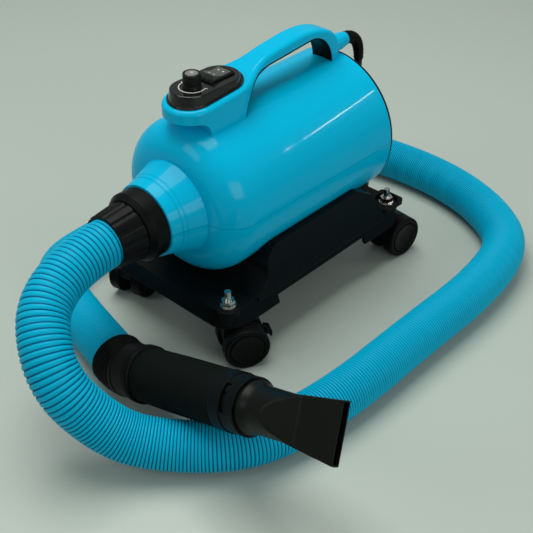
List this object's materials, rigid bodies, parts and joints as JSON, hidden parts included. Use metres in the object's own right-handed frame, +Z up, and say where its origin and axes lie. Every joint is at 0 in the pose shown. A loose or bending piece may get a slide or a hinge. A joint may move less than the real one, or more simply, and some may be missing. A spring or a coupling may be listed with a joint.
{
  "type": "forced-air pet dryer",
  "caption": "Forced-air pet dryer: a drum with a carry handle and control pod on a rolling caster base, a ribbed air hose and a hand wand with a flat nozzle.",
  "frame": {"origin": "on the floor, under the middle of the rolling base", "axes": "+Z up; X along the drum, with the air outlet at -X and the intake at +X; -Y is the drum's side that the wand and hose lie in front of"},
  "size_m": [0.7372, 0.6468, 0.2947],
  "materials": {
    "body_blue": "gloss",
    "black_plastic": "satin",
    "panel_black": "gloss",
    "knob_black": "matt",
    "knob_grey": "matt",
    "rocker_grey": "matt",
    "zinc": "bright zinc plate",
    "steel": "turned",
    "core_steel": "laminated",
    "copper": "varnished wire",
    "aluminium": "cast or spun",
    "black_rubber": "matt",
    "filter_foam": "open foam",
    "grip_foam": "matt foam",
    "board_green": "matt",
    "hose_cyan": "satin",
    "nozzle_black": "satin",
    "cord_black": "satin"
  },
  "bodies": {
    "dryer": {"lower_shell": "body_blue", "upper_shell": "body_blue", "casing_screws": "steel", "outlet_ring": "black_plastic", "intake_cover": "black_plastic", "intake_filter": "filter_foam", "motor_front_frame": "aluminium", "motor_rear_frame": "aluminium", "motor_bearings": "steel", "stator_core": "core_steel", "field_windings": "copper", "brush_holders": "black_plastic", "fan_cover": "aluminium", "fan_diffuser": "aluminium", "motor_mount_ring": "black_rubber", "handle": "body_blue", "handle_liner": "black_plastic", "control_panel": "panel_black", "speed_potentiometer": "black_plastic", "power_switch": "black_plastic", "rocker_frame": "black_plastic", "control_board": "board_green", "cord_gland": "body_blue", "cord_boot": "black_rubber", "rolling_base": "black_plastic", "caster_studs": "zinc", "stud_nuts": "zinc", "wand_cuff": "black_plastic", "wand_grip": "grip_foam", "wand_collar": "black_plastic", "air_hose": "hose_cyan", "power_cord": "cord_black", "cord_coil": "cord_black", "power_plug": "cord_black"},
    "rotor": {"motor_shaft": "steel", "armature": "core_steel", "impeller": "aluminium"},
    "knob": {"speed_knob": "knob_black", "knob_cap": "knob_grey"},
    "rocker": {"rocker_button": "rocker_grey"},
    "cuff": {"hose_cuff": "black_plastic"},
    "nozzle": {"flat_nozzle": "nozzle_black"},
    "caster_front_left": {"caster_fork_front_left": "black_plastic", "caster_axle_front_left": "steel"},
    "wheel_front_left_a": {"wheel_front_left_a": "black_rubber"},
    "wheel_front_left_b": {"wheel_front_left_b": "black_rubber"},
    "brake_front_left": {"brake_lever_front_left": "black_plastic"},
    "caster_front_right": {"caster_fork_front_right": "black_plastic", "caster_axle_front_right": "steel"},
    "wheel_front_right_a": {"wheel_front_right_a": "black_rubber"},
    "wheel_front_right_b": {"wheel_front_right_b": "black_rubber"},
    "brake_front_right": {"brake_lever_front_right": "black_plastic"},
    "caster_rear_left": {"caster_fork_rear_left": "black_plastic", "caster_axle_rear_left": "steel"},
    "wheel_rear_left_a": {"wheel_rear_left_a": "black_rubber"},
    "wheel_rear_left_b": {"wheel_rear_left_b": "black_rubber"},
    "caster_rear_right": {"caster_fork_rear_right": "black_plastic", "caster_axle_rear_right": "steel"},
    "wheel_rear_right_a": {"wheel_rear_right_a": "black_rubber"},
    "wheel_rear_right_b": {"wheel_rear_right_b": "black_rubber"}
  },
  "joints": [
    {"name": "rotor_spin", "type": "hinge", "parent": "dryer", "child": "rotor", "pos_m": [0, 0, 0.1575], "axis": [1, 0, 0], "continuous": true},
    {"name": "knob_turn", "type": "hinge", "parent": "dryer", "child": "knob", "pos_m": [-0.0945, 0, 0.285], "axis": [0, 0, 1], "range_deg": [0, 206]},
    {"name": "rocker_tip", "type": "hinge", "parent": "dryer", "child": "rocker", "pos_m": [-0.062, 0, 0.277], "axis": [0, -1, 0], "range_deg": [0, 16]},
    {"name": "cuff_turn", "type": "hinge", "parent": "dryer", "child": "cuff", "pos_m": [-0.19, 0, 0.1575], "axis": [1, 0, 0], "range_deg": [0, 90]},
    {"name": "nozzle_twist", "type": "hinge", "parent": "dryer", "child": "nozzle", "pos_m": [-0.24185, -0.05874, 0.04054], "axis": [0, -0.9443, 0.3291], "range_deg": [0, 40]},
    {"name": "swivel_front_left", "type": "hinge", "parent": "dryer", "child": "caster_front_left", "pos_m": [-0.133, -0.08, 0.045], "axis": [0, 0, 1], "continuous": true},
    {"name": "roll_front_left_a", "type": "hinge", "parent": "caster_front_left", "child": "wheel_front_left_a", "pos_m": [-0.12051, -0.08736, 0.025], "axis": [0.5075, 0.8616, 0], "continuous": true},
    {"name": "roll_front_left_b", "type": "hinge", "parent": "caster_front_left", "child": "wheel_front_left_b", "pos_m": [-0.12051, -0.08736, 0.025], "axis": [0.5075, 0.8616, 0], "continuous": true},
    {"name": "brake_front_left", "type": "hinge", "parent": "caster_front_left", "child": "brake_front_left", "pos_m": [-0.10715, -0.09523, 0.0335], "axis": [0.5075, 0.8616, 0], "range_deg": [0, 15]},
    {"name": "swivel_front_right", "type": "hinge", "parent": "dryer", "child": "caster_front_right", "pos_m": [-0.133, 0.08, 0.045], "axis": [0, 0, 1], "continuous": true},
    {"name": "roll_front_right_a", "type": "hinge", "parent": "caster_front_right", "child": "wheel_front_right_a", "pos_m": [-0.11899, 0.08375, 0.025], "axis": [-0.2588, 0.9659, 0], "continuous": true},
    {"name": "roll_front_right_b", "type": "hinge", "parent": "caster_front_right", "child": "wheel_front_right_b", "pos_m": [-0.11899, 0.08375, 0.025], "axis": [-0.2588, 0.9659, 0], "continuous": true},
    {"name": "brake_front_right", "type": "hinge", "parent": "caster_front_right", "child": "brake_front_right", "pos_m": [-0.10402, 0.08776, 0.0335], "axis": [-0.2588, 0.9659, 0], "range_deg": [0, 15]},
    {"name": "swivel_rear_left", "type": "hinge", "parent": "dryer", "child": "caster_rear_left", "pos_m": [0.133, -0.08, 0.045], "axis": [0, 0, 1], "continuous": true},
    {"name": "roll_rear_left_a", "type": "hinge", "parent": "caster_rear_left", "child": "wheel_rear_left_a", "pos_m": [0.14744, -0.08134, 0.025], "axis": [0.0924, 0.9957, 0], "continuous": true},
    {"name": "roll_rear_left_b", "type": "hinge", "parent": "caster_rear_left", "child": "wheel_rear_left_b", "pos_m": [0.14744, -0.08134, 0.025], "axis": [0.0924, 0.9957, 0], "continuous": true},
    {"name": "swivel_rear_right", "type": "hinge", "parent": "dryer", "child": "caster_rear_right", "pos_m": [0.133, 0.08, 0.045], "axis": [0, 0, 1], "continuous": true},
    {"name": "roll_rear_right_a", "type": "hinge", "parent": "caster_rear_right", "child": "wheel_rear_right_a", "pos_m": [0.14718, 0.07698, 0.025], "axis": [0.2079, 0.9781, 0], "continuous": true},
    {"name": "roll_rear_right_b", "type": "hinge", "parent": "caster_rear_right", "child": "wheel_rear_right_b", "pos_m": [0.14718, 0.07698, 0.025], "axis": [0.2079, 0.9781, 0], "continuous": true}
  ]
}
